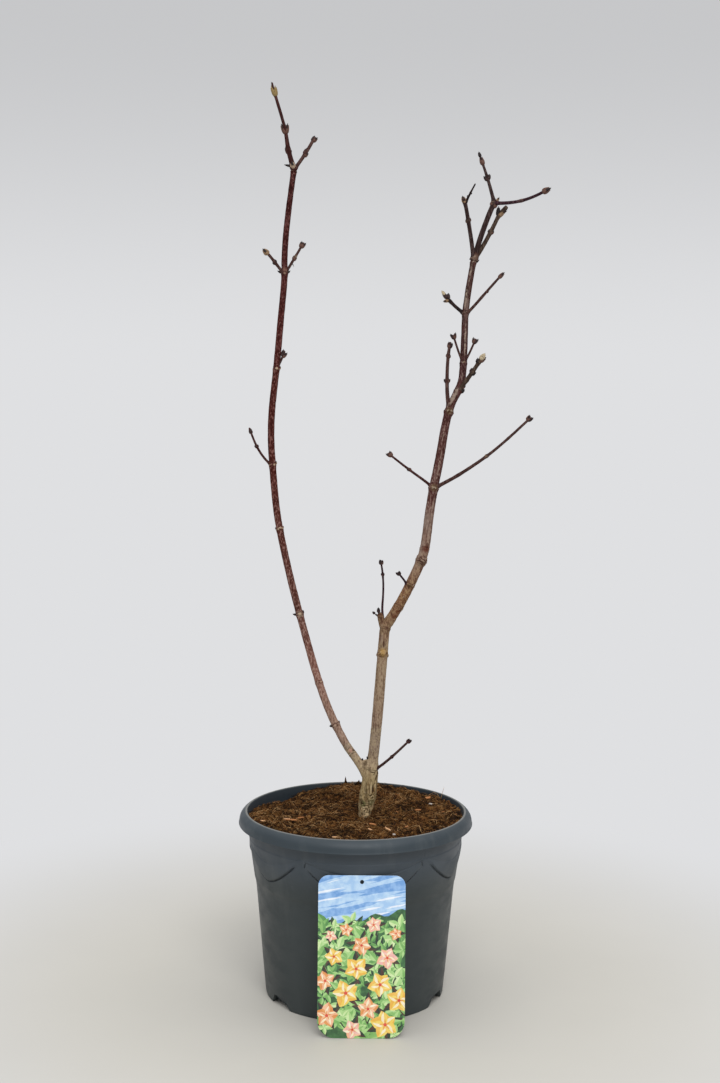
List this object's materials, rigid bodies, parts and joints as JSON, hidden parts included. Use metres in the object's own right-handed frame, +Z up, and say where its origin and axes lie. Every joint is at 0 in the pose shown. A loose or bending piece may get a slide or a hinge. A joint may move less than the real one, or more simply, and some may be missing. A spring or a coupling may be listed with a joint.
{
  "type": "potted full moon maple",
  "caption": "Young garden tree, bare in winter: a short trunk forks into long slender boughs with twigs and buds, in peat in a round plastic pot, with a picture card leaning on it.",
  "frame": {"origin": "centre of the pot's flat underside", "axes": "+Z up along the plant, -Y towards the front, where the picture card leans on the pot, +X to the right as seen from the front"},
  "size_m": [0.3699, 0.302, 1.1109],
  "materials": {
    "pot_plastic": "matte dark blue-grey moulded plastic, a little paler and smoother on the lip",
    "peat": "loose fibrous brown peat",
    "card": "glossy laminated print",
    "trunk_bark": "wrinkled olive-tan bark",
    "right_bough_bark": "smooth young bark, olive-tan below and reddish brown above",
    "left_bough_bark": "smooth dark maroon bark with pale pores",
    "twig_bark": "thin dark brown bark",
    "bud_scales": "small overlapping brown and olive bud scales"
  },
  "bodies": {
    "root": {"crown_dead_twig": "twig_bark", "crown_twig_back": "twig_bark", "crown_twig_left": "twig_bark", "crown_twig_middle": "twig_bark", "crown_twig_outer": "twig_bark", "crown_twig_right": "twig_bark", "fork_twig": "twig_bark", "left_bough_lower": "left_bough_bark", "left_bough_middle": "left_bough_bark", "left_bough_upper": "left_bough_bark", "left_high_twig_left": "twig_bark", "left_high_twig_right": "twig_bark", "left_low_twig": "twig_bark", "left_spur_twig": "twig_bark", "left_tip_side_twig": "twig_bark", "left_tip_twig": "twig_bark", "picture_card": "card", "pot": "pot_plastic", "right_bough_bend": "right_bough_bark", "right_bough_lower": "right_bough_bark", "right_bough_middle": "right_bough_bark", "right_bough_upper": "right_bough_bark", "right_high_twig_left": "twig_bark", "right_high_twig_right": "twig_bark", "right_inner_twig": "twig_bark", "right_low_short_twig": "twig_bark", "right_low_upright_twig": "twig_bark", "right_outer_twig": "twig_bark", "right_pair_twig_left": "twig_bark", "right_pair_twig_right": "twig_bark", "right_stout_twig": "twig_bark", "right_upright_twig": "twig_bark", "soil": "peat", "trunk": "trunk_bark"}
  },
  "joints": []
}
